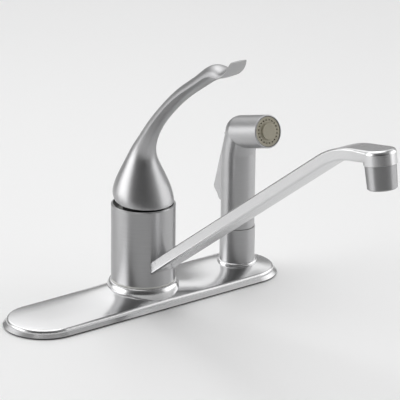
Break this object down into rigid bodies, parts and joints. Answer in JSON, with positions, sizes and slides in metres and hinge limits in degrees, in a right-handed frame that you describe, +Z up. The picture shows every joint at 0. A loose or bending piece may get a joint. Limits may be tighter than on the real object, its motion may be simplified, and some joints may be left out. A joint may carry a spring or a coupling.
{
  "type": "side spray kitchen faucet",
  "caption": "Deck mounted kitchen faucet: long crowned plate, single lever valve, rising flat spout that swings, and a separate hand spray with a thumb trigger.",
  "frame": {"origin": "the spout's swing axis where it crosses the deck's top face", "axes": "+Z up along the swing axis, +X along the plate towards the hand spray, -Y towards the basin"},
  "size_m": [0.272, 0.338, 0.348],
  "materials": {
    "satin_metal": "satin, brushed nickel look",
    "brass": "machined",
    "steel": "bright",
    "copper": "drawn tube",
    "ceramic": "lapped",
    "white_plastic": "moulded",
    "dark_plastic": "moulded",
    "face_plastic": "moulded, taupe",
    "rubber": "matte"
  },
  "bodies": {
    "base": {"escutcheon": "satin_metal", "deck_gasket": "rubber", "valve_body": "brass", "supply_tubes": "copper", "spray_outlet_nipple": "brass", "shank_washer": "steel", "shank_nut": "brass", "plate_stud": "steel", "plate_stud_washer": "steel", "plate_wing_nut": "dark_plastic", "spout_o_rings": "rubber", "lower_glide_ring": "white_plastic", "upper_glide_ring": "white_plastic", "diverter_cage": "white_plastic", "diverter_spring": "steel", "cartridge_housing": "white_plastic", "inlet_seals": "rubber", "fixed_disc": "ceramic", "bonnet_nut": "dark_plastic", "spray_holder": "satin_metal", "spray_holder_washer": "dark_plastic", "spray_holder_nut": "brass"},
    "diverter": {"diverter_spool": "white_plastic"},
    "mixer": {"stem_rotor": "white_plastic", "stem_pin": "steel"},
    "disc": {"moving_disc": "ceramic", "disc_driver": "white_plastic"},
    "lever": {"lever_stem": "steel", "handle": "satin_metal", "handle_screw": "steel", "handle_screw_plug": "dark_plastic"},
    "spout": {"spout_sleeve": "satin_metal", "spout_arm": "satin_metal", "aerator_housing": "satin_metal", "aerator_washer": "rubber", "aerator_insert": "white_plastic", "aerator_screen": "steel"},
    "hose_end": {"hose_coupling": "brass", "coupling_washer": "rubber", "coupling_clip": "steel"},
    "spray_head": {"spray_body": "satin_metal", "trigger_pin": "steel", "nozzle_bezel": "dark_plastic", "nozzle_face": "face_plastic", "nozzle_hub": "face_plastic", "plunger_gland": "white_plastic", "plunger_spring": "steel"},
    "trigger": {"spray_trigger": "satin_metal"},
    "plunger": {"spray_plunger": "white_plastic"}
  },
  "joints": [
    {"name": "spout_swing", "type": "hinge", "parent": "base", "child": "spout", "pos_m": [0, 0, 0], "axis": [0, 0, 1], "range_deg": [-180, 60]},
    {"name": "handle_turn", "type": "hinge", "parent": "base", "child": "mixer", "pos_m": [0, 0, 0], "axis": [0, 0, 1], "range_deg": [-50, 50]},
    {"name": "handle_lift", "type": "hinge", "parent": "mixer", "child": "lever", "pos_m": [0, 0, 0.092], "axis": [-1, 0, 0], "range_deg": [0, 20]},
    {"name": "disc_slide", "type": "slide", "parent": "mixer", "child": "disc", "axis": [0, -1, 0], "range_m": [0, 0.0037]},
    {"name": "spray_lift", "type": "slide", "parent": "base", "child": "hose_end", "axis": [0, 0, 1], "range_m": [0, 0.1]},
    {"name": "spray_turn", "type": "hinge", "parent": "hose_end", "child": "spray_head", "pos_m": [0.1016, 0, 0.03], "axis": [0, 0, 1], "continuous": true},
    {"name": "trigger_press", "type": "hinge", "parent": "spray_head", "child": "trigger", "pos_m": [0.1016, 0.0044, 0.1256], "axis": [-1, 0, 0], "range_deg": [0, 5.5], "stiffness_Nm_per_rad": 0.8, "springref_deg": -3.44},
    {"name": "plunger_slide", "type": "slide", "parent": "spray_head", "child": "plunger", "axis": [0, -1, 0], "range_m": [0, 0.0029], "deforming": ["plunger_spring"]},
    {"name": "diverter_shift", "type": "slide", "parent": "base", "child": "diverter", "axis": [0, 1, 0], "range_m": [0, 0.002], "stiffness_N_per_m": 20, "springref_m": -0.001, "deforming": ["diverter_spring"]}
  ],
  "couplings": [
    {"joint": "disc_slide", "follows": "handle_lift", "m_per_rad": 0.0104},
    {"joint": "plunger_slide", "follows": "trigger_press", "m_per_rad": 0.029}
  ]
}
